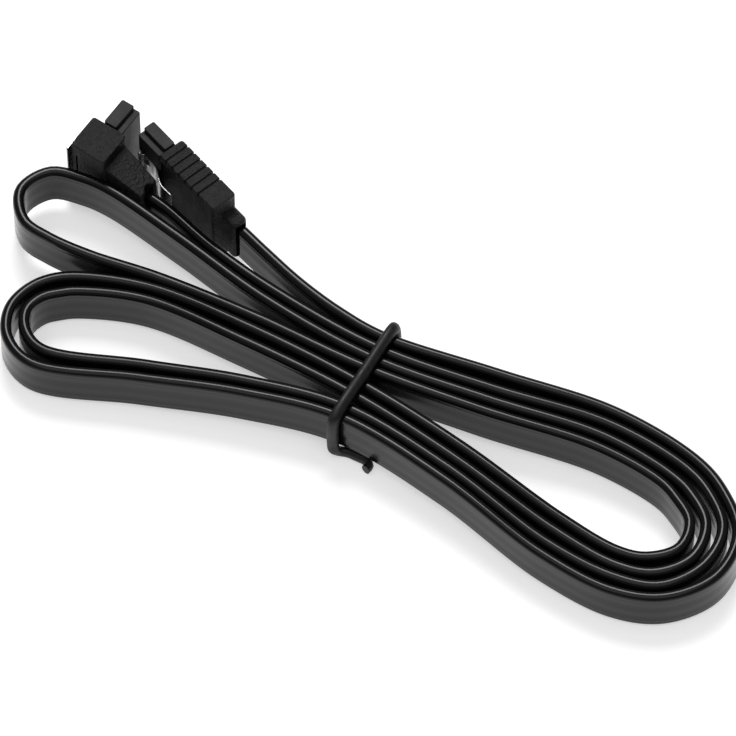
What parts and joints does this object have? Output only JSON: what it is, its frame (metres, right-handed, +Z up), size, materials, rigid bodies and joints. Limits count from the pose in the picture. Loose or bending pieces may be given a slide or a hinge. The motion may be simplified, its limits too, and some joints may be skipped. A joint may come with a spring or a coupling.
{
  "type": "flat data cable",
  "caption": "Flat black data cable folded into a hank and held by a twist tie, with a straight latching plug at one end and a right-angle latching plug at the other.",
  "frame": {"origin": "middle of the whole object's outline on the surface that it lies on", "axes": "+X along the hank from the plugs towards the closed loop, +Y across it from the front loop towards the plugs, +Z up out of the surface"},
  "size_m": [0.1217, 0.044, 0.0144],
  "materials": {
    "jacket": "satin black PVC",
    "moulding": "fine-grained black moulding",
    "housing": "smooth black moulding",
    "steel": "bright stamped spring steel",
    "gold": "gold flash",
    "tie": "satin black coating"
  },
  "bodies": {
    "root": {"ribbon_cable": "jacket", "straight_shell": "moulding", "straight_housing": "housing", "straight_latch": "steel", "angle_shell": "moulding", "angle_housing": "housing", "angle_latch": "steel", "twist_tie": "tie", "straight_contact_1": "gold", "straight_contact_2": "gold", "straight_contact_3": "gold", "straight_contact_4": "gold", "straight_contact_5": "gold", "straight_contact_6": "gold", "straight_contact_7": "gold", "angle_contact_1": "gold", "angle_contact_2": "gold", "angle_contact_3": "gold", "angle_contact_4": "gold", "angle_contact_5": "gold", "angle_contact_6": "gold", "angle_contact_7": "gold"}
  },
  "joints": []
}
